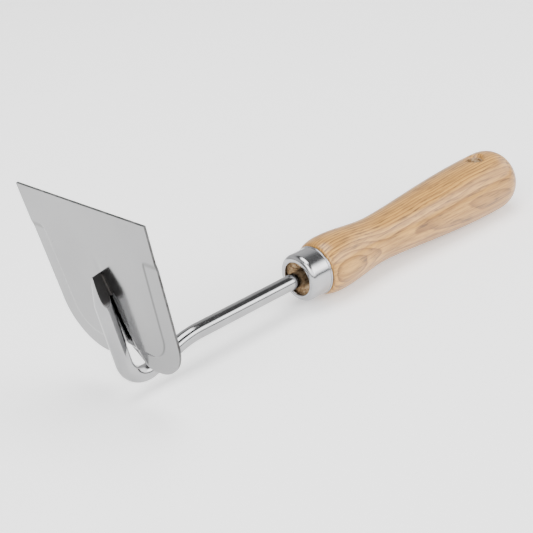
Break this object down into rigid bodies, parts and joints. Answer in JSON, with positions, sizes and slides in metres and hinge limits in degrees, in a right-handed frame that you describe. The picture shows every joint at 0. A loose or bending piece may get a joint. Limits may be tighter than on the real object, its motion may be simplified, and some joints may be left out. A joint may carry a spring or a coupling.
{
  "type": "inside corner trowel",
  "caption": "Hand trowel with a flat, square-fronted pressed blade on a round cranked neck, a bright ferrule and a turned wooden handle with a hanging hole.",
  "frame": {"origin": "middle of the hanging hole, on the handle's axis", "axes": "+X along the handle from the blade to the handle's rounded end, +Z along the hanging hole towards the side on which the blade's front edge stands, XZ is the plane of symmetry"},
  "size_m": [0.2421, 0.08, 0.0883],
  "materials": {
    "blade_steel": "bright rolled sheet, satin, lightly reflective",
    "neck_steel": "polished round rod with heat-darkened flats at the welded point",
    "weld_metal": "rough dark weld",
    "ferrule_chrome": "polished plating",
    "handle_wood": "pale straight-grained hardwood under clear lacquer"
  },
  "bodies": {
    "root": {"blade": "blade_steel", "neck": "neck_steel", "weld": "weld_metal", "ferrule": "ferrule_chrome", "handle": "handle_wood"}
  },
  "joints": []
}
